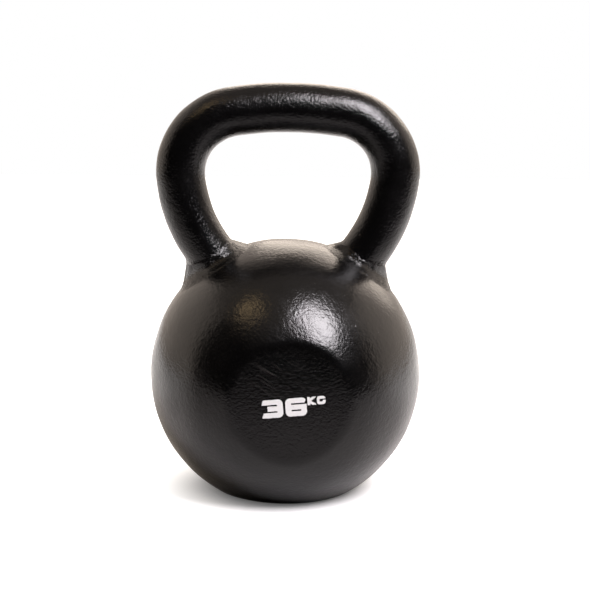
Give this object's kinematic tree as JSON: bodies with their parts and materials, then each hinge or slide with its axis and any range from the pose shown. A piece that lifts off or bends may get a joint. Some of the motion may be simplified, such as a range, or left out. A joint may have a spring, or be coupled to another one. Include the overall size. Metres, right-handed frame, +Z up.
{
  "type": "kettlebell",
  "caption": "Cast-iron ball weight with a bent round-bar loop handle welded to its shoulders, a flat base and a flat front face with a plain weight marking.",
  "frame": {"origin": "centre of the flat base, on the surface that the kettlebell stands on", "axes": "+Z up through the ball's centre to the grip; the handle's loop lies in the XZ plane; -Y is the way the marked front flat faces"},
  "size_m": [0.207, 0.1971, 0.3125],
  "materials": {
    "ball_paint": "satin",
    "handle_paint": "satin",
    "weld_paint": "satin",
    "marking_ink": "matte"
  },
  "bodies": {
    "root": {"ball_casting": "ball_paint", "handle_bar": "handle_paint", "left_weld": "weld_paint", "right_weld": "weld_paint", "weight_digits": "marking_ink", "unit_letters": "marking_ink"}
  },
  "joints": []
}
